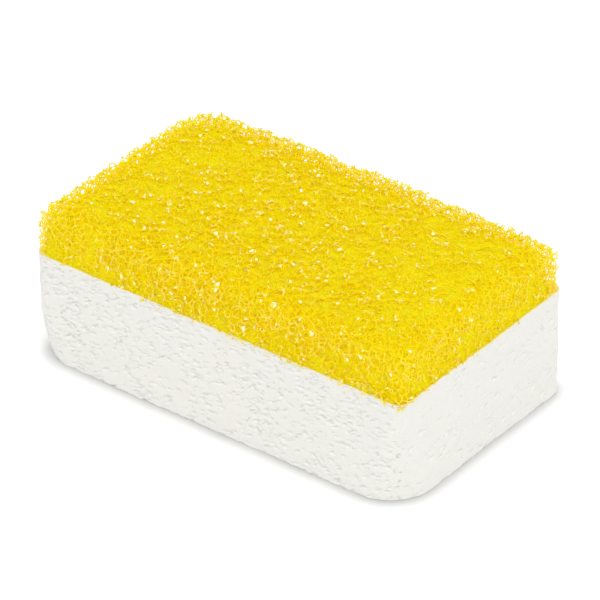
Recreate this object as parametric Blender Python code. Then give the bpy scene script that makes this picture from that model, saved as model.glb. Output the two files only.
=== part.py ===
"""Grout sponge: a white cellulose block with a yellow open-cell foam scrub pad bonded on top of it.

Metres, +Z up. The origin is the middle of the underside. +X runs along the length, and the
long side at -Y is the front. Both pieces are soft, and both are shown dry and at rest.
"""

import random

import bmesh
import bpy
from mathutils import Vector

# Overall size
LENGTH = 0.152
WIDTH = 0.089
BLOCK_HEIGHT = 0.040
PAD_THICKNESS = 0.0167

# The thickness of the glue line, which is left empty
BOND_LINE = 0.0003

# Radii of the four upright corners, at the foot of the block and at the bond
FRONT_LEFT_FOOT = 0.014
FRONT_RIGHT_FOOT = 0.016
BACK_RIGHT_FOOT = 0.005
BACK_LEFT_FOOT = 0.013
FRONT_LEFT_BOND = 0.006
FRONT_RIGHT_BOND = 0.007
BACK_RIGHT_BOND = 0.0055
BACK_LEFT_BOND = 0.013

# Rounding of the pad's top edge
PAD_EDGE_RADIUS = 0.0045

# Open cells of the foam pad: their spacing, how deep each one is, and how uneven their rims are
CELL_PITCH = 0.0040
CELL_DEPTH = 0.0028
RIM_UNEVENNESS = 0.0007

# Pores of the cellulose: the spacing of the places they may take, and the largest pore
PORE_PITCH = 0.0050
PORE_LENGTH = 0.0030
PORE_HEIGHT = 0.0011
PORE_DEPTH = 0.0009

# How much of its spacing a cell or pore may stray, and the share of places that hold a pore
CELL_STRAY = 0.30
PORE_STRAY = 0.30
PORE_SHARE = 0.30

# The shallowest cell and the smallest pore, as shares of the largest
SHALLOWEST_CELL = 0.60
SMALLEST_PORE = 0.55

PAD_SEED = 11
BLOCK_SEED = 23

PAD_COLOUR = (0.890, 0.640, 0.008)
BLOCK_COLOUR = (0.840, 0.835, 0.800)


def corner_radius(x, y, height_share):
    """Gives the radius of the upright corner nearest to a point, from 0 at the foot to 1 at the bond."""
    corners = {
        (False, False): (FRONT_LEFT_FOOT, FRONT_LEFT_BOND),
        (True, False): (FRONT_RIGHT_FOOT, FRONT_RIGHT_BOND),
        (True, True): (BACK_RIGHT_FOOT, BACK_RIGHT_BOND),
        (False, True): (BACK_LEFT_FOOT, BACK_LEFT_BOND),
    }
    foot, bond = corners[x > 0, y > 0]
    return foot + (bond - foot) * height_share


def round_corner(x, y, radius):
    """Moves a point of the plain rectangle to the rounded outline, and gives it with the way out there."""
    side_x = 1 if x > 0 else -1
    side_y = 1 if y > 0 else -1
    past_x = abs(x) - (LENGTH / 2 - radius)
    past_y = abs(y) - (WIDTH / 2 - radius)
    if past_x > 0 and past_y > 0:
        way = Vector((past_x, past_y)).normalized()
        reach = max(past_x, past_y)
        place = Vector((LENGTH / 2 - radius + reach * way.x, WIDTH / 2 - radius + reach * way.y))
    else:
        way = Vector((1, 0)) if past_x > past_y else Vector((0, 1))
        place = Vector((abs(x), abs(y)))
    return Vector((side_x * place.x, side_y * place.y)), Vector((side_x * way.x, side_y * way.y))


def round_top_edge(x, y, depth):
    """Moves a point of the pad's box onto its rounded form, as its place in plan, depth and way out."""
    inset = min(LENGTH / 2 - abs(x), WIDTH / 2 - abs(y))
    place, out = round_corner(x, y, corner_radius(x, y, 1))
    if inset < PAD_EDGE_RADIUS and depth < PAD_EDGE_RADIUS:
        way = Vector((PAD_EDGE_RADIUS - inset, PAD_EDGE_RADIUS - depth))
        reach = max(way)
        way.normalize()
        place += out * (inset - (PAD_EDGE_RADIUS - reach * way.x))
        return place, PAD_EDGE_RADIUS - reach * way.y, Vector((out.x * way.x, out.y * way.x, way.y))
    if depth < inset:
        return place, depth, Vector((0, 0, 1))
    return place, depth, Vector((out.x, out.y, 0))


def box_skin(low, high, pitch, stray, top, chance):
    """Makes the walls of the sponge's box from low to high, and its top if wanted, as a mesh of quads."""
    skin = bmesh.new()
    sizes = (LENGTH, WIDTH, high - low)
    starts = (-LENGTH / 2, -WIDTH / 2, low)
    counts = [max(1, round(size / pitch)) for size in sizes]
    along, across, rows = counts
    points = {}

    def point(*step):
        if step not in points:
            place = []
            for number, count, start, size in zip(step, counts, starts, sizes):
                inner = 0 < number < count
                moved = number + (chance.uniform(-stray, stray) if inner else 0)
                place.append(start + size * moved / count)
            points[step] = skin.verts.new(place)
        return points[step]

    for row in range(rows):
        for i in range(along):
            for j, first, last in ((0, i, i + 1), (across, i + 1, i)):
                corners = ((first, j, row), (last, j, row), (last, j, row + 1), (first, j, row + 1))
                skin.faces.new([point(*corner) for corner in corners])
        for j in range(across):
            for i, first, last in ((along, j, j + 1), (0, j + 1, j)):
                corners = ((i, first, row), (i, last, row), (i, last, row + 1), (i, first, row + 1))
                skin.faces.new([point(*corner) for corner in corners])
    if top:
        for i in range(along):
            for j in range(across):
                corners = ((i, j, rows), (i + 1, j, rows), (i + 1, j + 1, rows), (i, j + 1, rows))
                skin.faces.new([point(*corner) for corner in corners])
    return skin


def cover_open_ends(mesh):
    """Closes each open ring of edges with one flat face."""
    rims = [edge for edge in mesh.edges if edge.is_boundary]
    bmesh.ops.holes_fill(mesh, edges=rims, sides=0)


def foam_pad():
    """Makes the pad: each point of its skin sinks to a cell's floor, and each triangle becomes a rim."""
    chance = random.Random(PAD_SEED)
    low = BLOCK_HEIGHT + BOND_LINE
    high = low + PAD_THICKNESS
    skin = box_skin(low, high, CELL_PITCH, CELL_STRAY, True, chance)
    outward = {}
    for vert in skin.verts:
        place, depth, way = round_top_edge(vert.co.x, vert.co.y, high - vert.co.z)
        vert.co = (place.x, place.y, high - depth)
        outward[vert] = way
    bmesh.ops.triangulate(skin, faces=skin.faces[:], quad_method="BEAUTY")

    pad = bmesh.new()
    floors = {}
    for vert in skin.verts:
        depth = CELL_DEPTH * chance.uniform(SHALLOWEST_CELL, 1)
        floors[vert] = pad.verts.new(vert.co - outward[vert] * depth)
    rims = {}
    for face in skin.faces:
        way = sum((outward[vert] for vert in face.verts), Vector()).normalized()
        rims[face] = pad.verts.new(face.calc_center_median() - way * RIM_UNEVENNESS * chance.random())
    for edge in skin.edges:
        loop = edge.link_loops[0]
        start = floors[loop.vert]
        end = floors[loop.link_loop_next.vert]
        left = rims[loop.face]
        if edge.is_boundary:
            right = pad.verts.new((loop.vert.co + loop.link_loop_next.vert.co) / 2)
        else:
            right = rims[edge.link_loops[1].face]
        pad.faces.new((start, right, left))
        pad.faces.new((end, left, right))
    skin.free()
    cover_open_ends(pad)
    return pad


def open_pore(block, face, chance):
    """Sinks one lens-shaped pore, longer than it is high, into a face of the block's wall."""
    size = chance.uniform(SMALLEST_PORE, 1)
    middle = face.calc_center_median()
    inward = -face.normal
    along = Vector((0, 0, 1)).cross(face.normal).normalized()
    bmesh.ops.inset_individual(block, faces=[face], thickness=PORE_HEIGHT / 2, use_even_offset=True)
    for vert in face.verts:
        from_middle = vert.co - middle
        side = 1 if from_middle.dot(along) > 0 else -1
        level = 1 if from_middle.z > 0 else -1
        vert.co = middle + along * side * size * PORE_LENGTH / 2
        vert.co.z += level * size * PORE_HEIGHT / 2
    pit = bmesh.ops.poke(block, faces=[face])["verts"][0]
    pit.co = middle + inward * size * PORE_DEPTH


def cellulose_block():
    """Makes the block: walls that keep straight while their corners widen towards the foot, with pores."""
    chance = random.Random(BLOCK_SEED)
    block = box_skin(0, BLOCK_HEIGHT, PORE_PITCH, PORE_STRAY, False, chance)
    for vert in block.verts:
        radius = corner_radius(vert.co.x, vert.co.y, vert.co.z / BLOCK_HEIGHT)
        place, _ = round_corner(vert.co.x, vert.co.y, radius)
        vert.co.x, vert.co.y = place
    block.normal_update()
    for face in [face for face in block.faces if chance.random() < PORE_SHARE]:
        open_pore(block, face, chance)
    cover_open_ends(block)
    return block


def plain_material(name, colour, roughness):
    """Makes a non-metallic material of one colour."""
    material = bpy.data.materials.new(name)
    material.use_nodes = True
    shader = material.node_tree.nodes["Principled BSDF"]
    shader.inputs["Base Color"].default_value = (*colour, 1)
    shader.inputs["Roughness"].default_value = roughness
    shader.inputs["Metallic"].default_value = 0
    return material


def place_piece(name, shape, material):
    """Turns a finished mesh into a named object of the scene."""
    bmesh.ops.triangulate(shape, faces=[face for face in shape.faces if len(face.verts) > 3])
    mesh = bpy.data.meshes.new(name)
    shape.to_mesh(mesh)
    shape.free()
    mesh.materials.append(material)
    bpy.context.scene.collection.objects.link(bpy.data.objects.new(name, mesh))


for old in list(bpy.data.objects):
    bpy.data.objects.remove(old, do_unlink=True)

place_piece("cellulose_block", cellulose_block(), plain_material("white cellulose", BLOCK_COLOUR, 0.9))
place_piece("scrub_pad", foam_pad(), plain_material("yellow foam", PAD_COLOUR, 0.5))
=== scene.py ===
"""Grout sponge, dressed: an open net of yellow foam struts bonded on a porous white cellulose block."""

import itertools
import math

import bpy
import numpy as np
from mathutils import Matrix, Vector
from mathutils.kdtree import KDTree


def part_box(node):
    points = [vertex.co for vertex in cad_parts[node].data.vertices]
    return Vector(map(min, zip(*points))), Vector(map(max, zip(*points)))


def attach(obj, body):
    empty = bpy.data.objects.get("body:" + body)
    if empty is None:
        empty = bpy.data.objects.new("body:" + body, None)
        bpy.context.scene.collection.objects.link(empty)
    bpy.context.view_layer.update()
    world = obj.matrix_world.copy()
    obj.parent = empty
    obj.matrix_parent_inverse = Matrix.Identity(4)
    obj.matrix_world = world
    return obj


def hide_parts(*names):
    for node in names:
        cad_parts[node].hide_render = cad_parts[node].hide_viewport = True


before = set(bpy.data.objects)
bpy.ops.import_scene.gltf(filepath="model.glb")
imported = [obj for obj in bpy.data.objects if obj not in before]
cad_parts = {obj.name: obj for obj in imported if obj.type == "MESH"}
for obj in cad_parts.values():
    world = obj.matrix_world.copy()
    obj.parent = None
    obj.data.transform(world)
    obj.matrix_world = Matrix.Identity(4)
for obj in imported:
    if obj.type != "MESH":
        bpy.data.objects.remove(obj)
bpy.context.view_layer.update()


# The block: regenerated cellulose, cast as a loaf round crystals that are then washed out, sawn, and die-cut
# with the pad on it. The crystals leave short level pores in its walls, and the die's squeeze leaves its
# upright corners tighter at the bond than at the foot. Glue stains the face that it is bonded by.
block_top = np.array(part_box("cellulose_block")[1])
half_plan = block_top[:2]
bond_height = block_top[2]
foot_radii = {(-1, -1): 0.0155, (1, -1): 0.016, (1, 1): 0.005, (-1, 1): 0.013}
bond_radii = {(-1, -1): 0.0045, (1, -1): 0.0032, (1, 1): 0.0035, (-1, 1): 0.012}
squeeze = {(-1, -1): 3.2, (1, -1): 1.3, (1, 1): 2.0, (-1, 1): 2.0}
wall_step = 0.00060
level_step = 0.00037
pore_count = 6200
smallest_pore = 0.0009
largest_pore = 0.0034
pore_sizes = (1.1, 3.4)
pore_flatness = (0.30, 0.6)
lowest_pore = 0.0006
pore_lean = (0.12, 0.35)
deepest_pore = 0.0012
pore_deepness = (0.3, 1)
small_pore_deepness = 0.4
pore_patchiness = 0.9
pore_patch = 0.013
pore_richest = 2.0
face_start = 0.98
front_pores = 1.9
right_pores = 0.40
near_plainness = 0.5
plain_reach = 0.022
wall_swells = [(0.00022, 0.022, 8), (0.00014, 0.006, 9)]
splay = 0.0009
wear_depth = 0.00025
wear_size = 0.004
foot_wear = 0.0007
foot_lift = 0.0003
rim_inset = 0.0008
tightest_corner = 0.0005
below_bond_reach = 0.0014
slit_sway = 0.0016
block_seed = 3


def corner_radii(places, radii_of_corners):
    """Gives each place the radius of its nearest upright corner."""
    radii = np.zeros(len(places))
    for (side_x, side_y), radius in radii_of_corners.items():
        here = (places[:, 0] * side_x >= 0) & (places[:, 1] * side_y >= 0)
        radii[here] = radius
    return radii


def block_radii(height_share):
    """Gives the block's corners their radii at a share of its height: they tighten fast above the foot."""
    return {
        corner: bond_radii[corner] + (foot - bond_radii[corner]) * (1 - height_share) ** squeeze[corner]
        for corner, foot in foot_radii.items()
    }


def round_plan(shares, inset, radii_of_corners):
    """Puts places, given as shares of the half sizes, in the rounded plan, with the way out of it at each."""
    half = half_plan - inset
    radii = np.maximum(corner_radii(shares, radii_of_corners) - inset, tightest_corner)
    past = np.abs(shares) * half - (half - radii[:, None])
    reach = past.max(axis=1)
    corner = (past > 0).all(axis=1)
    way = np.where((past[:, 0] > past[:, 1])[:, None], [1.0, 0.0], [0.0, 1.0])
    way[corner] = past[corner] / np.linalg.norm(past[corner], axis=1)[:, None]
    places = np.abs(shares) * half
    places[corner] = (half - radii[corner, None]) + reach[corner, None] * way[corner]
    side = np.where(shares > 0, 1, -1)
    return side * places, side * way


def ring_shares(step):
    """Gives places about one step apart once round the plan, leftwards seen from above, as shares."""
    along, across = (round(2 * half / step) for half in half_plan)
    x = np.linspace(-1, 1, along + 1)
    y = np.linspace(-1, 1, across + 1)
    front = np.stack([x[:-1], np.full(along, -1.0)], axis=1)
    right = np.stack([np.full(across, 1.0), y[:-1]], axis=1)
    return np.concatenate([front, right, -front, -right])


def ring_quads(rows, count):
    """Gives the quads between rows of points that each run once round, facing out where the rows climb."""
    low = np.arange(rows - 1)[:, None] * count + np.arange(count)[None, :]
    after = np.arange(rows - 1)[:, None] * count + (np.arange(count)[None, :] + 1) % count
    return np.stack([low, after, after + count, low + count], axis=-1).reshape(-1, 4)


def at_height(plan, height):
    """Adds one height to places in plan."""
    return np.concatenate([plan, np.full((len(plan), 1), height)], axis=1)


def soft_noise(places, size, seed):
    """Gives each place a smooth random value from about -1 to 1 that changes over the given size."""
    chance = np.random.default_rng(seed)
    value = np.zeros(len(places))
    waves = 9
    for _ in range(waves):
        way = chance.normal(size=3)
        way /= np.linalg.norm(way)
        stretch = 2 * math.pi / (size * chance.uniform(0.7, 1.5))
        value += np.sin(places @ way * stretch + chance.uniform(0, 2 * math.pi))
    return value * math.sqrt(2 / waves) / 2


def mesh_piece(name, points, faces, material, smooth=True):
    """Makes an object from points and a list of arrays of faces, one array for each face size."""
    mesh = bpy.data.meshes.new(name)
    mesh.vertices.add(len(points))
    mesh.vertices.foreach_set("co", np.asarray(points, dtype=np.float32).ravel())
    sizes = np.concatenate([np.full(len(group), group.shape[1]) for group in faces])
    corners = np.concatenate([group.ravel() for group in faces])
    mesh.loops.add(len(corners))
    mesh.loops.foreach_set("vertex_index", corners.astype(np.int32))
    mesh.polygons.add(len(sizes))
    starts = np.concatenate([[0], np.cumsum(sizes)[:-1]])
    mesh.polygons.foreach_set("loop_start", starts.astype(np.int32))
    mesh.polygons.foreach_set("use_smooth", np.full(len(sizes), smooth))
    mesh.update(calc_edges=True)
    mesh.materials.append(material)
    piece = bpy.data.objects.new(name, mesh)
    bpy.context.scene.collection.objects.link(piece)
    return piece


def give_trait(piece, trait, values):
    """Gives each point of a piece a value that its material can read by name."""
    data = piece.data.attributes.new(trait, "FLOAT", "POINT").data
    data.foreach_set("value", np.asarray(values, dtype=np.float32).ravel())


def new_material(name):
    """Makes a node material, and gives it with its node tree and its main shader."""
    material = bpy.data.materials.new(name)
    material.use_nodes = True
    tree = material.node_tree
    return material, tree, tree.nodes["Principled BSDF"]


def add_node(tree, kind, settings=None, **sockets):
    """Adds a node, sets its own settings, and sets or links its inputs by name, or by number as n0, n1."""
    node = tree.nodes.new(kind)
    for setting, value in (settings or {}).items():
        setattr(node, setting, value)
    for socket, value in sockets.items():
        if socket[0] == "n" and socket[1:].isdigit():
            target = node.inputs[int(socket[1:])]
        else:
            target = node.inputs[socket.replace("_", " ")]
        if isinstance(value, bpy.types.NodeSocket):
            tree.links.new(value, target)
        else:
            target.default_value = value
    return node


def colour_steps(tree, value, steps):
    """Turns a value into a colour that runs through the given (position, colour) steps."""
    ramp = add_node(tree, "ShaderNodeValToRGB", Fac=value)
    stops = ramp.color_ramp.elements
    while len(stops) < len(steps):
        stops.new(0.5)
    for stop, (position, colour) in zip(stops, steps):
        stop.position = position
        stop.color = (*colour, 1)
    return ramp.outputs["Color"]


def value_range(tree, value, low, high, out_low, out_high):
    """Maps a value from one range to another and keeps it in that range."""
    node = add_node(
        tree, "ShaderNodeMapRange", {"clamp": True}, Value=value, n1=low, n2=high, n3=out_low, n4=out_high
    )
    return node.outputs["Result"]


def trait_value(tree, trait):
    """Reads a value that was given to the points of a piece."""
    return add_node(tree, "ShaderNodeAttribute", {"attribute_name": trait}).outputs["Fac"]


def times(tree, one, other):
    """Multiplies two values."""
    return add_node(tree, "ShaderNodeMath", {"operation": "MULTIPLY"}, n0=one, n1=other).outputs[0]


def blend_colours(tree, share, one, other):
    """Blends from one colour to another by a share."""
    node = add_node(tree, "ShaderNodeMix", {"data_type": "RGBA"}, n0=share, n6=one, n7=other)
    return node.outputs[2]


def pore_depths(ring, levels):
    """Gives the depth of the pores at each point of the wall, row by row up from the foot."""
    chance = np.random.default_rng(block_seed)
    ring_count = len(ring)
    depths = np.zeros((len(levels), ring_count))
    columns_of_pores = chance.uniform(0, ring_count, pore_count)
    levels_of_pores = chance.uniform(0, bond_height, pore_count)
    plan = ring[columns_of_pores.astype(int)] * half_plan
    spots = np.concatenate([plan, levels_of_pores[:, None]], axis=1)
    richness = 1 + pore_patchiness * soft_noise(spots, pore_patch, block_seed)
    richness[spots[:, 1] < -half_plan[1] * face_start] *= front_pores
    richness[spots[:, 0] > half_plan[0] * face_start] *= right_pores
    from_near_corner = np.linalg.norm(spots[:, :2] - half_plan * [1, -1], axis=1)
    richness *= 1 - near_plainness * np.exp(-((from_near_corner / plain_reach) ** 2))
    kept = chance.uniform(0, pore_richest, pore_count) < richness
    for column, level in zip(columns_of_pores[kept], levels_of_pores[kept]):
        width = smallest_pore + (largest_pore - smallest_pore) * chance.beta(*pore_sizes)
        height = max(width * chance.uniform(*pore_flatness), lowest_pore)
        lean = chance.normal(*pore_lean)
        for_size = small_pore_deepness + (1 - small_pore_deepness) * width / largest_pore
        deep = deepest_pore * chance.uniform(*pore_deepness) * for_size
        reach = int(width / wall_step) + 1
        columns = np.arange(int(column) - reach, int(column) + reach + 1)
        rows = np.nonzero(np.abs(levels - level) < height + abs(lean) * width)[0]
        off_wide = (columns - column)[None, :] * wall_step
        off_high = levels[rows][:, None] - level - lean * off_wide
        bowl = 1 - (2 * off_wide / width) ** 2 - (2 * off_high / height) ** 2
        patch = np.ix_(rows, columns % ring_count)
        depths[patch] = np.maximum(depths[patch], deep * np.sqrt(np.clip(bowl, 0, 1)))
    return depths


ring = ring_shares(wall_step)
levels = np.linspace(0, bond_height, round(bond_height / level_step) + 1)
wall = []
pore_rows = pore_depths(ring, levels)
for level, pits in zip(levels, pore_rows):
    plan, way = round_plan(ring, 0, block_radii(level / bond_height))
    spots = at_height(plan, level)
    swell = sum(depth * soft_noise(spots, size, seed) for depth, size, seed in wall_swells)
    swell += splay * (1 - level / bond_height) ** 2
    wear = wear_depth * (1 + soft_noise(spots, wear_size, 10)) * math.exp(-level / foot_wear)
    wall.append(at_height(plan + way * (swell - pits - wear)[:, None], level))
    if level in (0, bond_height):
        rim = at_height(plan + way * (swell - wear)[:, None] - way * rim_inset, level)
        wall.append(rim)
wall = [wall[1], wall[0], *wall[2:]]
wall[1][:, 2] = foot_lift
block_points = np.concatenate(wall)
flat_rim = np.zeros((1, len(ring)))
pit_depth = np.concatenate([flat_rim, pore_rows, flat_rim])
# Painted highlight: the rows just under each pore, and faintly those just over it, are marked to be painted
# lighter as lit lips.
under_pit = np.clip(np.roll(pit_depth, -1, axis=0) - pit_depth, 0, None)
over_pit = np.clip(np.roll(pit_depth, 1, axis=0) - pit_depth, 0, None)
around = np.arange(len(ring))
foot_face = around[::-1][None, :]
bond_face = (len(block_points) - len(ring) + around)[None, :]

white, tree, shader = new_material("white cellulose")
place = add_node(tree, "ShaderNodeTexCoord").outputs["Object"]
drawn_level = add_node(tree, "ShaderNodeMapping", Vector=place, Scale=(1.0, 1.0, 2.3)).outputs["Vector"]
sway = add_node(tree, "ShaderNodeTexNoise", Vector=drawn_level, Scale=260.0, Detail=2.0).outputs["Color"]
bent = add_node(
    tree,
    "ShaderNodeVectorMath",
    {"operation": "MULTIPLY_ADD"},
    n0=sway,
    n1=(slit_sway, slit_sway, slit_sway),
    n2=drawn_level,
).outputs["Vector"]
slit_cells = add_node(tree, "ShaderNodeTexVoronoi", {"feature": "F1"}, Vector=bent, Scale=620.0)
slit_pick = add_node(tree, "ShaderNodeSeparateColor", Color=slit_cells.outputs["Color"])
slit_size = value_range(tree, slit_pick.outputs["Red"], 0.55, 1.0, 0.0, 0.40)
slit_edge = add_node(
    tree, "ShaderNodeMath", {"operation": "SUBTRACT"}, n0=slit_size, n1=slit_cells.outputs["Distance"]
).outputs[0]
slit = value_range(tree, slit_edge, 0.0, 0.16, 0.0, 1.0)
patches = add_node(tree, "ShaderNodeTexNoise", Vector=place, Scale=85.0, Detail=3.0).outputs["Fac"]
slit = times(tree, slit, value_range(tree, patches, 0.36, 0.60, 0.15, 1.0))
fibre = add_node(
    tree, "ShaderNodeTexNoise", Vector=drawn_level, Scale=1500.0, Detail=5.0, Roughness=0.65
).outputs["Fac"]
body = colour_steps(
    tree, fibre, [(0.30, (0.79, 0.782, 0.732)), (0.50, (0.84, 0.833, 0.79)), (0.70, (0.88, 0.874, 0.84))]
)
# Painted shade: the colour darkens in the slits, as shade in them would; the same slits are also a real bump
# below.
slit_shade = (0.66, 0.66, 0.60, 1)
body = blend_colours(tree, times(tree, slit, 0.35), body, slit_shade)
# Painted shade: the colour darkens with each pore's depth, as shade in the pores would.
pit_share = value_range(tree, trait_value(tree, "pit_depth"), 0.0, deepest_pore, 0.0, 0.6)
pit_shade = (0.68, 0.69, 0.59, 1)
body = blend_colours(tree, pit_share, body, pit_shade)
# Painted highlight: the pores' lips are painted lighter, as light catching them would make them.
lip_highlight_share = value_range(tree, trait_value(tree, "pit_lip"), 0.0, deepest_pore / 2, 0.0, 0.9)
painted_lip_highlight = (0.97, 0.97, 0.95, 1)
body = blend_colours(tree, lip_highlight_share, body, painted_lip_highlight)
height = add_node(tree, "ShaderNodeSeparateXYZ", Vector=place).outputs["Z"]
# A thin yellowish band is painted on the walls just under the bond.
below_bond_share = value_range(tree, height, bond_height - below_bond_reach, bond_height, 0.0, 0.22)
below_bond_yellow = (0.97, 0.86, 0.45, 1)
body = blend_colours(tree, below_bond_share, body, below_bond_yellow)
glued_share = value_range(tree, height, bond_height - 0.00004, bond_height - 0.00001, 0.0, 1.0)
glued_yellow = (0.95, 0.80, 0.20, 1)
body = blend_colours(tree, glued_share, body, glued_yellow)
fleck_cells = add_node(tree, "ShaderNodeTexVoronoi", {"feature": "F1"}, Vector=drawn_level, Scale=240.0)
fleck_pick = add_node(tree, "ShaderNodeSeparateColor", Color=fleck_cells.outputs["Color"])
fleck_near = value_range(tree, fleck_cells.outputs["Distance"], 0.06, 0.22, 1.0, 0.0)
fleck = times(tree, fleck_near, value_range(tree, fleck_pick.outputs["Red"], 0.955, 0.965, 0.0, 0.55))
fleck_colours = [(0.35, (0.74, 0.76, 0.58)), (0.7, (0.86, 0.70, 0.54))]
fleck_colour = colour_steps(tree, fleck_pick.outputs["Green"], fleck_colours)
tree.links.new(blend_colours(tree, fleck, body, fleck_colour), shader.inputs["Base Color"])
tree.links.new(value_range(tree, fibre, 0.3, 0.7, 0.95, 0.75), shader.inputs["Roughness"])
relief = add_node(
    tree, "ShaderNodeMath", {"operation": "MULTIPLY_ADD"}, n0=slit, n1=-1.8, n2=fibre
).outputs[0]
bump = add_node(tree, "ShaderNodeBump", Height=relief, Strength=0.45, Distance=0.00016)
tree.links.new(bump.outputs["Normal"], shader.inputs["Normal"])
shader.inputs["Subsurface Weight"].default_value = 0.3
shader.inputs["Subsurface Radius"].default_value = (1.0, 0.95, 0.85)
shader.inputs["Subsurface Scale"].default_value = 0.0008
shader.inputs["Specular IOR Level"].default_value = 0.3

block_faces = [ring_quads(len(wall), len(ring)), foot_face, bond_face]
block = mesh_piece("cellulose_sponge", block_points, block_faces, white)
give_trait(block, "pit_depth", pit_depth)
give_trait(block, "pit_lip", under_pit + 0.4 * over_pit)
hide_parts("cellulose_block")
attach(block, "root")


# The scrub pad's net: polyurethane foam whose cell walls were burnt away, so that only the struts along the
# cells' edges are left. A strut is a three-cornered bar, fattest where four meet. The knife leaves cut ends
# standing all over the pad's faces, paler in patches near its sides, and the foot spreads where it is glued.
cell_volume = 1.8e-8
cell_spacing = (2 * cell_volume) ** (1 / 3)
cell_scatter = 0.15
cell_need = 1.7
cell_margin = 2.2
strut_radius = 0.00020
strut_spread = (0.85, 1.2)
flattest_window = 0.45
pad_radii = {(-1, -1): 0.0045, (1, -1): 0.0018, (1, 1): 0.0055, (-1, 1): 0.0145}
pad_proud = 0.0003
top_proud = 0.0007
top_edge_radius = 0.0064
crown = 0.0004
cut_swells = [(0.00030, 0.016, 3), (0.00035, 0.006, 4), (0.00045, 0.0030, 6)]
stub_length = (0.1, 1.0)
shortest_stub = 0.12
halvings = 12
fringe = 0.0009
fringe_start = 0.0002
raggedness = 0.4
ragged_size = 0.004
right_fringe = 0.0003
near_fringe = 0.0006
near_reach = 0.0055
foot_spread = 0.0008
spread_reach = 0.05
spread_height = 0.002
mass_radii = {(-1, -1): 0.0065, (1, -1): 0.0055, (1, 1): 0.010, (-1, 1): 0.017}
mass_inset = 0.0016
mass_depth = 0.0003
mass_edge_radius = 0.0115
mass_cover = 0.0002
mass_shift = np.array([0.0006, -0.0008, 0])
net_seed = 5
bond_film = 0.0001
pad_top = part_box("scrub_pad")[1][2]


def outside_plan(places, radii_of_corners):
    """Gives each place's distance outside a rounded plan of the sponge's size, negative inside."""
    radii = corner_radii(places, radii_of_corners)
    past = np.abs(places[:, :2]) - (half_plan - radii[:, None])
    return np.minimum(past.max(axis=1), 0) + np.linalg.norm(np.maximum(past, 0), axis=1) - radii


def outside_form(places, radii_of_corners, inset, depth, edge_radius):
    """Gives each place's distance outside a form like the pad's, but let in from it, negative inside."""
    plan = outside_plan(places, radii_of_corners)
    across = np.stack([plan + inset, places[:, 2] - (pad_top - depth)], axis=1) + edge_radius
    return np.minimum(across.max(axis=1), 0) + np.linalg.norm(np.maximum(across, 0), axis=1) - edge_radius


def outside_pad(places):
    """Gives each place's distance outside the pad's plain form, negative inside."""
    return outside_form(places, pad_radii, -pad_proud, -top_proud, top_edge_radius)


def outside_mass(places):
    """Gives each place's distance outside the depth of the pad, where single struts can't be told apart."""
    return outside_form(places - mass_shift, mass_radii, mass_inset, mass_depth, mass_edge_radius)


def cut_face(places):
    """Gives each place's distance outside the pad as the knife left it, a little uneven, negative inside."""
    uneven = sum(depth * soft_noise(places, size, seed) for depth, size, seed in cut_swells)
    uneven += crown * (2 * (places[:, 0] / half_plan[0]) ** 2 - 1)
    last_tenth = np.clip(places[:, 0] / half_plan[0] * 10 - 9, 0, 1)
    hang = fringe + right_fringe * last_tenth
    hang *= 1 + raggedness * soft_noise(places, ragged_size, 12)
    from_near_corner = np.linalg.norm(places[:, :2] - half_plan * [1, -1], axis=1)
    hang += near_fringe * np.exp(-((from_near_corner / near_reach) ** 2))
    hang *= np.clip(outside_plan(places, block_radii(1)) / fringe_start, 0, 1)
    spread = foot_spread * np.exp(-((from_near_corner / spread_reach) ** 2))
    uneven -= spread * np.exp(-np.maximum(places[:, 2] - bond_height, 0) / spread_height)
    under = bond_height + bond_film - hang - places[:, 2]
    return np.maximum(outside_pad(places) + uneven, under)


def scatter_cells():
    """Places the cells' middles: a body-centred lattice, turned and shaken, where the net needs them."""
    chance = np.random.default_rng(net_seed)
    reach = np.array([*half_plan, pad_top]) + cell_margin * cell_spacing
    count = int(np.linalg.norm(2 * reach) / cell_spacing) // 2 + 2
    steps = np.arange(-count, count + 1)
    corners = np.stack(np.meshgrid(steps, steps, steps, indexing="ij"), axis=-1).reshape(-1, 3)
    lattice = np.concatenate([corners, corners + 0.5]) * cell_spacing
    turn = np.linalg.qr(chance.normal(size=(3, 3)))[0]
    cells = lattice @ turn.T + [0, 0, (bond_height + pad_top) / 2]
    cells = cells[(np.abs(cells[:, :2]) < reach[:2]).all(axis=1)]
    cells = cells[(cells[:, 2] > bond_height - 2 * cell_spacing) & (cells[:, 2] < reach[2])]
    cells += chance.normal(scale=cell_scatter * cell_spacing, size=cells.shape)
    near_face = outside_pad(cells) < cell_need * cell_spacing
    return cells[near_face & (outside_mass(cells) > -cell_need * cell_spacing)]


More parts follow.
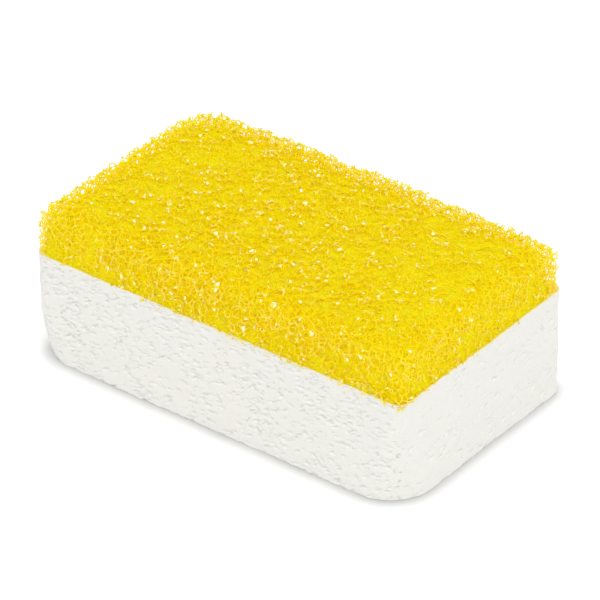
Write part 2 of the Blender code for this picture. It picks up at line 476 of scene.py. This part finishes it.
def find_knots(cells):
    """Finds where four cells meet, as the cells' numbers and the place that is as far from all four."""
    near = 24
    wide = 38
    tree = KDTree(len(cells))
    for number, cell in enumerate(cells):
        tree.insert(cell, number)
    tree.balance()
    around = np.array([[found[1] for found in tree.find_n(cell, wide + 1)][1:] for cell in cells])
    triples = np.array(list(itertools.combinations(range(near), 3)))
    owners, places = [], []
    step = 250
    for start in range(0, len(cells), step):
        own = np.arange(start, min(start + step, len(cells)))
        close = around[own, :near]
        later = close > own[:, None]
        row, column = np.nonzero(later[:, triples[:, 0]] & later[:, triples[:, 1]] & later[:, triples[:, 2]])
        others = close[row[:, None], triples[column]]
        first, second, third = (cells[others[:, k]] - cells[own[row]] for k in range(3))
        volume = 2 * np.einsum("ij,ij->i", first, np.cross(second, third))
        safe = np.where(np.abs(volume) < 1e-16, np.inf, volume)
        centre = (first**2).sum(1)[:, None] * np.cross(second, third)
        centre += (second**2).sum(1)[:, None] * np.cross(third, first)
        centre += (third**2).sum(1)[:, None] * np.cross(first, second)
        centre /= safe[:, None]
        reach = np.linalg.norm(centre, axis=1)
        fair = (reach < cell_spacing) & (reach > 0)
        row = row[fair]
        others = others[fair]
        centre = centre[fair] + cells[own[row]]
        reach = reach[fair]
        empty = np.ones(len(row), dtype=bool)
        for k in range(wide):
            left = np.nonzero(empty)[0]
            gap = np.linalg.norm(cells[around[own[row[left]], k]] - centre[left], axis=1)
            empty[left[gap < reach[left] * (1 - 1e-6)]] = False
        owners.append(np.concatenate([own[row[empty], None], others[empty]], axis=1))
        places.append(centre[empty])
    owners = np.sort(np.concatenate(owners), axis=1)
    return owners, np.concatenate(places)


def pair_up(owners, count):
    """Joins knots that share three cells. Gives the far knot's end of each knot's four struts, or -1."""
    keys = []
    for left_out in range(4):
        kept = np.delete(owners, left_out, axis=1).astype(np.int64)
        keys.append((kept[:, 0] * count + kept[:, 1]) * count + kept[:, 2])
    keys = np.stack(keys, axis=1).ravel()
    order = np.argsort(keys, kind="stable")
    same = np.nonzero(keys[order][1:] == keys[order][:-1])[0]
    far = np.full(len(keys), -1)
    far[order[same]] = order[same + 1]
    far[order[same + 1]] = order[same]
    return far.reshape(-1, 4)


pairs = list(itertools.combinations(range(4), 2))


def strut_corners(owners, places, cells, far):
    """Gives each knot's six strut corners, one reaching into each window that meets there."""
    ways = np.zeros((len(places), 4, 3))
    for left_out in range(4):
        a, b, c = (cells[owners[:, k]] for k in range(4) if k != left_out)
        way = np.cross(b - a, c - a)
        way /= np.linalg.norm(way, axis=1)[:, None]
        away = (a + b + c) / 3 - cells[owners[:, left_out]]
        link = far[:, left_out]
        away = np.where((link >= 0)[:, None], places[link // 4] - places, away)
        sign = np.sign((way * away).sum(1))
        ways[:, left_out] = way * np.where(sign == 0, 1, sign)[:, None]
    chance = np.random.default_rng(net_seed + 1)
    girth = strut_radius * chance.uniform(*strut_spread, len(places))
    corners = np.zeros((len(places), 6, 3))
    for slot, (one, other) in enumerate(pairs):
        first, second = (ways[:, k] for k in range(4) if k not in (one, other))
        middle = first + second
        length = np.linalg.norm(middle, axis=1)
        middle /= np.maximum(length, 1e-9)[:, None]
        half_sine = np.sqrt(np.clip(1 - (length / 2) ** 2, flattest_window, 1))
        corners[:, slot] = places + middle * (girth / half_sine)[:, None]
    return corners


cells = scatter_cells()
owners, knots = find_knots(cells)
far = pair_up(owners, len(cells))
corners = strut_corners(owners, knots, cells, far)
in_net = (cut_face(knots) < 0) & (outside_mass(knots) > -mass_cover)


def slot_of(first, second):
    """Gives the place in a knot's six corners of the window between two of its four cells."""
    low = np.minimum(first, second)
    high = np.maximum(first, second)
    return low * (7 - low) // 2 + high - low - 1


def turn_at(left_out):
    """Gives each knot +1 where the cells round a strut run leftwards, seen from its far end, or -1."""
    a, b, c = (cells[owners[:, k]] for k in range(4) if k != left_out)
    other = cells[owners[:, left_out]]
    return np.where(np.einsum("ij,ij->i", np.cross(b - a, c - a), other - a) < 0, 1, -1)


def face_out(faces, turns):
    """Turns the faces over where the turn is -1."""
    return np.where((turns > 0)[:, None], faces, faces[:, ::-1])


def cut_ends(own, link, left_out, slots, far_slots):
    """Gives the ends of struts that stop short: at the cut, in the depth, or where no knot is known."""
    from_corners = corners[own[:, None], slots]
    to_corners = corners[link[:, None] * (link >= 0)[:, None], far_slots]
    no_link = link < 0
    middle = cells[np.delete(owners[own], left_out, axis=1)].mean(axis=1) - cells[owners[own, left_out]]
    middle /= np.linalg.norm(middle, axis=1)[:, None]
    to_corners[no_link] = from_corners[no_link] + middle[no_link, None] * strut_radius * 2
    start = knots[own]
    end = to_corners.mean(axis=1)
    low = np.zeros(len(own))
    high = np.ones(len(own))
    leaves = cut_face(end) > 0
    for _ in range(halvings):
        half = (low + high) / 2
        out = cut_face(start + (end - start) * half[:, None]) > 0
        high = np.where(out, half, high)
        low = np.where(out, low, half)
    chance = np.random.default_rng(net_seed + 2 + left_out)
    share = np.where(leaves, high * chance.uniform(*stub_length, len(own)), 1)
    share = np.maximum(share, shortest_stub)
    return from_corners + (to_corners - from_corners) * share[:, None, None]


def net_piece(name, here, material):
    """Makes one closed stretch of the net, with its struts capped where they leave the stretch."""
    window_pairs = [(0, 1), (1, 2), (0, 2)]
    number = np.full(len(knots), -1)
    number[here] = np.arange(here.sum())
    points = [corners[here].reshape(-1, 3)]
    total = 6 * here.sum()
    triangles, quads = [], []
    own_all = np.nonzero(here)[0]
    for left_out in range(4):
        turns = turn_at(left_out)
        around = [k for k in range(4) if k != left_out]
        base = 6 * number[own_all]
        facing = np.stack([base + slot_of(left_out, k) for k in around], axis=1)
        triangles.append(face_out(facing, -turns[own_all]))

        link = far[own_all, left_out] // 4
        link[far[own_all, left_out] < 0] = -1
        known = link >= 0
        joined = known & in_net[link]
        same = joined & here[link]
        slots = np.array([slot_of(around[one], around[other]) for one, other in window_pairs])
        own_ids = [owners[own_all, k] for k in around]
        spots = [(owners[link] == ids[:, None]).argmax(axis=1) for ids in own_ids]
        far_slots = np.stack([slot_of(spots[one], spots[other]) for one, other in window_pairs], axis=1)
        near_ring = base[:, None] + slots[None, :]

        meet = same & (own_all < link)
        far_ring = 6 * number[link[meet]][:, None] + far_slots[meet]
        strut_sets = [(near_ring[meet], far_ring, turns[own_all[meet]])]

        closed = joined & ~same & (own_all > link)
        triangles.append(face_out(near_ring[closed], turns[own_all[closed]]))

        ends = ~same & ~closed
        own = own_all[ends]
        rings = cut_ends(own, link[ends], left_out, np.broadcast_to(slots, (len(own), 3)), far_slots[ends])
        whole = joined[ends]
        rings[whole] = corners[link[ends][whole][:, None], far_slots[ends][whole]]
        end_ring = total + np.arange(3 * len(own)).reshape(-1, 3)
        points.append(rings.reshape(-1, 3))
        total += 3 * len(own)
        triangles.append(face_out(end_ring, turns[own]))
        strut_sets.append((near_ring[ends], end_ring, turns[own]))

        for near_side, far_side, turn in strut_sets:
            for k in range(3):
                after = (k + 1) % 3
                quad = np.stack(
                    [near_side[:, k], near_side[:, after], far_side[:, after], far_side[:, k]], axis=1
                )
                quads.append(face_out(quad, turn))
    points = np.concatenate(points)
    faces = [np.concatenate(triangles), np.concatenate(quads)]
    piece = mesh_piece(name, points, faces, material, smooth=False)
    give_trait(piece, "depth", -outside_pad(points))
    give_trait(piece, "from_wall", -outside_plan(points, pad_radii))
    return piece


yellow, tree, shader = new_material("yellow foam")
place = add_node(tree, "ShaderNodeTexCoord").outputs["Object"]
tone = add_node(
    tree, "ShaderNodeTexNoise", Vector=place, Scale=170.0, Detail=3.0, Roughness=0.6
).outputs["Fac"]
grain = add_node(tree, "ShaderNodeTexNoise", Vector=place, Scale=2600.0, Detail=2.0).outputs["Fac"]
strut_yellows = [
    (0.32, (0.925, 0.705, 0.001)),
    (0.52, (0.93, 0.72, 0.002)),
    (0.62, (0.95, 0.76, 0.02)),
    (0.74, (0.98, 0.80, 0.12)),
]
# Painted highlights: small spots on the outermost struts are painted cream, standing in for glints of light.
glint_spots = add_node(tree, "ShaderNodeTexNoise", Vector=place, Scale=700.0, Detail=1.0).outputs["Fac"]
glint_patch = add_node(tree, "ShaderNodeTexNoise", Vector=place, Scale=120.0, Detail=2.0).outputs["Fac"]
glint = value_range(tree, glint_spots, 0.585, 0.615, 0.0, 1.0)
glint = times(tree, glint, value_range(tree, glint_patch, 0.42, 0.54, 0.0, 1.0))
depth = trait_value(tree, "depth")
glint = times(tree, glint, value_range(tree, depth, 0.0003, 0.0006, 1.0, 0.0))
body = colour_steps(tree, tone, strut_yellows)
# Painted light: struts deeper under the face are painted lighter and more lemon, against the shade they lie
# in.
inner_yellow_lightened_against_shade = (1.0, 0.82, 0.003, 1)
body = blend_colours(tree, value_range(tree, depth, 0.0004, 0.0018, 0.0, 1.0), body, inner_yellow_lightened_against_shade)
deepest_yellow_lightened_against_shade = (1.0, 0.855, 0.009, 1)
body = blend_colours(tree, value_range(tree, depth, 0.0016, 0.0034, 0.0, 1.0), body, deepest_yellow_lightened_against_shade)
# Paler patches are painted on the struts near the pad's side faces.
pale_side_patches = add_node(tree, "ShaderNodeTexNoise", Vector=place, Scale=620.0, Detail=1.0).outputs["Fac"]
near_wall = value_range(tree, trait_value(tree, "from_wall"), 0.0010, 0.0036, 1.0, 0.0)
pale_side_patches = times(tree, value_range(tree, pale_side_patches, 0.48, 0.60, 0.0, 0.75), near_wall)
pale_side_yellow = (1.0, 0.785, 0.14, 1)
body = blend_colours(tree, pale_side_patches, body, pale_side_yellow)
glint_yellow = (1.0, 0.94, 0.36, 1)
body = blend_colours(tree, glint, body, glint_yellow)
tree.links.new(body, shader.inputs["Base Color"])
tree.links.new(value_range(tree, grain, 0.3, 0.7, 0.30, 0.55), shader.inputs["Roughness"])
skin_bump = add_node(tree, "ShaderNodeBump", Height=grain, Strength=0.25, Distance=0.00005)
tree.links.new(skin_bump.outputs["Normal"], shader.inputs["Normal"])
shader.inputs["Subsurface Weight"].default_value = 0.7
shader.inputs["Subsurface Radius"].default_value = (1.0, 0.8, 0.15)
shader.inputs["Subsurface Scale"].default_value = 0.0010
shader.inputs["Specular IOR Level"].default_value = 0.07

stretches = 5
for stretch in range(stretches):
    share = (knots[:, 0] / half_plan[0] + 1) / 2 * stretches
    here = in_net & (np.clip(share.astype(int), 0, stretches - 1) == stretch)
    piece = net_piece(f"pad_net_{stretch + 1}", here, yellow)
    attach(piece, "root")
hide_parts("scrub_pad")


# The pad's depth: the same foam, below the struts that can be told apart. Its open cells run together there
# into one yellow mass, hollow at each cell and standing up in ridges between the cells. Its yellow is painted
# lighter than the outer struts', and lighter still with depth, to stand in for light in the net's shade.
mass_step = 0.0010
straight_rows = 8
edge_rows = 11
hollow = 0.0007
bowl_edge = 0.7
bond_spread = 0.0008

ring = ring_shares(mass_step)
mass_top = pad_top - mass_depth
straight = np.linspace(bond_height + bond_film, mass_top - mass_edge_radius, straight_rows)
rows = [(mass_inset - bond_spread * math.exp((straight[0] - level) / mass_step), level) for level in straight]
for angle in np.linspace(0, math.pi / 2, edge_rows + 2)[1:-1]:
    inward = mass_edge_radius * (1 - math.cos(angle))
    upward = mass_edge_radius * math.sin(angle)
    rows.append((mass_inset + inward, straight[-1] + upward))
wall = [at_height(round_plan(ring, inset, mass_radii)[0], level) for inset, level in rows]
along, across = (round(2 * half / mass_step) for half in half_plan)
x_shares = np.linspace(-1, 1, along + 1)
y_shares = np.linspace(-1, 1, across + 1)
grid = np.stack(np.meshgrid(x_shares, y_shares, indexing="ij"), axis=-1)
top = at_height(round_plan(grid.reshape(-1, 2), mass_inset + mass_edge_radius, mass_radii)[0], mass_top)
number = np.arange((along + 1) * (across + 1)).reshape(along + 1, across + 1)
first_top = len(ring) * len(wall)
border = first_top + np.concatenate([number[:-1, 0], number[-1, :-1], number[:0:-1, -1], number[0, :0:-1]])
mass_points = np.concatenate([*wall, top]) + mass_shift
last_row = np.arange(first_top - len(ring), first_top)
seam = np.stack([last_row, np.roll(last_row, -1), np.roll(border, -1), border], axis=1)
top_quads = first_top + np.stack(
    [number[:-1, :-1], number[1:, :-1], number[1:, 1:], number[:-1, 1:]], axis=-1
).reshape(-1, 4)
mass_foot = np.arange(len(ring))[::-1][None, :]

cell_tree = KDTree(len(cells))
for number, cell in enumerate(cells):
    cell_tree.insert(cell, number)
cell_tree.balance()


def way_out_of(distance, places, nudge=0.0002):
    """Gives the way in which a distance grows at each place."""
    shifts = np.eye(3) * nudge
    way = np.stack([distance(places + shift) - distance(places - shift) for shift in shifts], axis=1)
    return way / np.linalg.norm(way, axis=1)[:, None]


gaps = []
for spot in mass_points:
    (_, _, nearest), (_, _, second) = cell_tree.find_n(spot, 2)
    gaps.append(second - nearest)
bowl = np.clip(np.array(gaps) / cell_spacing / bowl_edge, 0, 1)
mass_points -= way_out_of(outside_mass, mass_points) * (hollow * bowl * (2 - bowl))[:, None]

deep_yellow, tree, shader = new_material("yellow foam in depth")
place = add_node(tree, "ShaderNodeTexCoord").outputs["Object"]
tone = add_node(
    tree, "ShaderNodeTexNoise", Vector=place, Scale=150.0, Detail=4.0, Roughness=0.6
).outputs["Fac"]
# Painted light: the mass is painted lighter than the outer struts, against the shade that the net casts on
# it.
mass_yellows_lightened_against_shade = [(0.32, (0.995, 0.768, 0.001)), (0.52, (1.0, 0.778, 0.002)), (0.72, (1.0, 0.788, 0.008))]
mass_yellow_lightened_against_shade = colour_steps(tree, tone, mass_yellows_lightened_against_shade)
deep_share = value_range(tree, trait_value(tree, "depth"), 0.0018, 0.0036, 0.0, 1.0)
body = blend_colours(tree, deep_share, mass_yellow_lightened_against_shade, deepest_yellow_lightened_against_shade)
tree.links.new(body, shader.inputs["Base Color"])
strands = add_node(tree, "ShaderNodeTexVoronoi", {"feature": "DISTANCE_TO_EDGE"}, Vector=place, Scale=650.0)
strand = value_range(tree, strands.outputs["Distance"], 0.03, 0.16, 1.0, 0.0)
strand_bump = add_node(tree, "ShaderNodeBump", Height=strand, Strength=0.8, Distance=0.0003)
tree.links.new(strand_bump.outputs["Normal"], shader.inputs["Normal"])
tree.links.new(value_range(tree, tone, 0.3, 0.7, 0.35, 0.6), shader.inputs["Roughness"])
shader.inputs["Subsurface Weight"].default_value = 0.8
shader.inputs["Subsurface Radius"].default_value = (1.0, 0.8, 0.15)
shader.inputs["Subsurface Scale"].default_value = 0.0012
shader.inputs["Specular IOR Level"].default_value = 0.07

mass_faces = [ring_quads(len(wall), len(ring)), seam, top_quads, mass_foot]
mass = mesh_piece("pad_depth", mass_points, mass_faces, deep_yellow, smooth=False)
give_trait(mass, "depth", -outside_pad(mass_points))
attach(mass, "root")


# The window films: where the flame that opened the foam's cells missed a wall, a scrap of its thin skin is
# left in the window, held at one corner. Their colour is a painted highlight, cream to white, so that they
# show as small white glints all over the pad under any light.
film_share = 0.62
film_patchiness = 1.3
film_patch = 0.008
fewest_films = 0.05
film_size = (0.3, 0.72)
film_depth = 0.0016
film_cover = 0.0009
film_thickness = 0.00003
film_facing = 0.62
open_rim = 0.85
film_seed = 17

near_face = np.nonzero(in_net & (outside_pad(knots) > -film_depth))[0]
windows = {}
for slot, (one, other) in enumerate(pairs):
    for knot in near_face:
        windows.setdefault((owners[knot, one], owners[knot, other]), []).append((knot, slot))
chance = np.random.default_rng(film_seed)
film_points, film_faces = [], []
total = 0
keys = sorted(key for key, rim in windows.items() if len(rim) > 3)
middles = np.array([cells[list(key)].mean(axis=0) for key in keys])
patchy = soft_noise(middles, film_patch, film_seed)
outward = way_out_of(outside_pad, middles)
covers = -outside_pad(middles)
for key, richness, out, cover in zip(keys, patchy, outward, covers):
    if chance.random() > film_share * max(fewest_films, 1 + film_patchiness * richness):
        continue
    rim = np.array([corners[knot, slot] for knot, slot in windows[key]])
    axis = cells[key[1]] - cells[key[0]]
    axis /= np.linalg.norm(axis)
    if abs(axis @ out) < film_facing or cover > film_cover:
        continue
    flat = rim - rim.mean(axis=0)
    first = flat[0] / np.linalg.norm(flat[0])
    turn = np.arctan2(flat @ np.cross(axis, first), flat @ first)
    order = np.argsort(turn)
    full_turn = np.append(turn[order], turn[order][0] + 2 * math.pi)
    if np.max(np.diff(full_turn)) > math.pi * open_rim:
        continue
    rim = rim[order]
    held = rim[chance.integers(len(rim))]
    rim = held + (rim - held) * chance.uniform(*film_size)
    count = len(rim)
    middle = rim.mean(axis=0)
    half_thick = axis * film_thickness
    film_points.append(np.concatenate([rim, [middle + half_thick, middle - half_thick]]))
    edge = total + np.arange(count)
    after = np.roll(edge, -1)
    film_faces.append(np.stack([edge, after, np.full(count, total + count)], axis=1))
    film_faces.append(np.stack([after, edge, np.full(count, total + count + 1)], axis=1))
    total += count + 2

film, tree, shader = new_material("window skin, painted as glints")
place = add_node(tree, "ShaderNodeTexCoord").outputs["Object"]
cloud = add_node(tree, "ShaderNodeTexNoise", Vector=place, Scale=700.0, Detail=2.0).outputs["Fac"]
# Painted highlight: the films are coloured cream to white, as glints, whatever light falls on them.
pale = [(0.38, (1.0, 0.96, 0.36)), (0.60, (1.0, 1.0, 0.72))]
tree.links.new(colour_steps(tree, cloud, pale), shader.inputs["Base Color"])
tree.links.new(value_range(tree, cloud, 0.3, 0.7, 0.05, 0.22), shader.inputs["Roughness"])
wrinkle = add_node(tree, "ShaderNodeBump", Height=cloud, Strength=0.3, Distance=0.0001)
tree.links.new(wrinkle.outputs["Normal"], shader.inputs["Normal"])
shader.inputs["Specular IOR Level"].default_value = 0.2
films = mesh_piece("pad_films", np.concatenate(film_points), [np.concatenate(film_faces)], film, smooth=False)
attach(films, "root")


# The studio: a white paper floor, soft lamps and the photograph's viewpoint. To the camera, the paper is
# white, lifted a little so that it stays so, and a contact shadow is painted into its colour as far as
# contact_reach from the sponge's foot.
camera_turn = math.radians(37.56)
camera_tilt = math.radians(32.96)
camera_distance = 1.591
camera_target = Vector((0.00153, -0.00033, 0.0286))
contact_reach = 0.0062
contact_shade = 0.58
paper_lift = 0.10
floor_half = 4

camera_data = bpy.data.cameras.new("camera")
camera_data.sensor_width = 36
camera_data.lens = 288.5
camera_data.clip_end = 10
camera = bpy.data.objects.new("camera", camera_data)
bpy.context.scene.collection.objects.link(camera)
bpy.context.scene.camera = camera
back = Vector((
    math.sin(camera_turn) * math.cos(camera_tilt),
    -math.cos(camera_turn) * math.cos(camera_tilt),
    math.sin(camera_tilt),
))
camera.location = camera_target + back * camera_distance
camera.rotation_euler = back.to_track_quat("Z", "Y").to_euler()


def soft_lamp(name, place, size, energy):
    """Hangs a square lamp that faces the sponge."""
    data = bpy.data.lights.new(name, "AREA")
    data.size = size
    data.energy = energy
    lamp = bpy.data.objects.new(name, data)
    lamp.location = place
    lamp.rotation_euler = (Vector(place) - camera_target).to_track_quat("Z", "Y").to_euler()
    bpy.context.scene.collection.objects.link(lamp)


soft_lamp("overhead", (0.1, 0.3, 1.7), 1.3, 2.3)
soft_lamp("right_lamp", (1.3, -0.7, 0.9), 0.9, 4.4)
soft_lamp("left_lamp", (-0.8, -1.5, 0.7), 0.9, 2.3)


def greater(tree, one, other):
    """Gives the greater of two values."""
    return add_node(tree, "ShaderNodeMath", {"operation": "MAXIMUM"}, n0=one, n1=other).outputs[0]


def shown_plainly(tree):
    """Gives 1 to rays from the camera or sent on by a shiny or clear surface, and 0 to the rest."""
    path = add_node(tree, "ShaderNodeLightPath").outputs
    sent_on = greater(tree, path["Is Glossy Ray"], path["Is Transmission Ray"])
    return greater(tree, path["Is Camera Ray"], sent_on)


world = bpy.data.worlds.new("studio")
bpy.context.scene.world = world
world.use_nodes = True
tree = world.node_tree
seen = shown_plainly(tree)
background = tree.nodes["Background"]
pale_grey = (0.9, 0.9, 0.9, 1)
plain_white = (1, 1, 1, 1)
tree.links.new(blend_colours(tree, seen, pale_grey, plain_white), background.inputs["Color"])
bpy.context.scene.view_settings.view_transform = "Standard"
bpy.context.scene.cycles.max_bounces = 20
bpy.context.scene.cycles.diffuse_bounces = 16

floor_data = bpy.data.meshes.new("floor")
floor_sides = [(-1, -1), (1, -1), (1, 1), (-1, 1)]
floor_corners = [(side_x * floor_half, side_y * floor_half, 0) for side_x, side_y in floor_sides]
floor_data.from_pydata(floor_corners, [], [(0, 1, 2, 3)])
floor = bpy.data.objects.new("floor", floor_data)
bpy.context.scene.collection.objects.link(floor)
paper, tree, shader = new_material("white paper")
seen = shown_plainly(tree)
# Painted shadow: the paper's colour darkens where ambient occlusion finds the sponge close by.
close_by = add_node(tree, "ShaderNodeAmbientOcclusion", {"samples": 16}, Distance=contact_reach).outputs["AO"]
contact = value_range(tree, close_by, 0.5, 0.97, contact_shade, 1.0)
shaded = blend_colours(tree, contact, (0, 0, 0, 1), plain_white)
tree.links.new(blend_colours(tree, seen, pale_grey, shaded), shader.inputs["Base Color"])
shader.inputs["Roughness"].default_value = 0.9
tree.links.new(times(tree, seen, paper_lift), shader.inputs["Emission Strength"])
shader.inputs["Emission Color"].default_value = plain_white
floor_data.materials.append(paper)
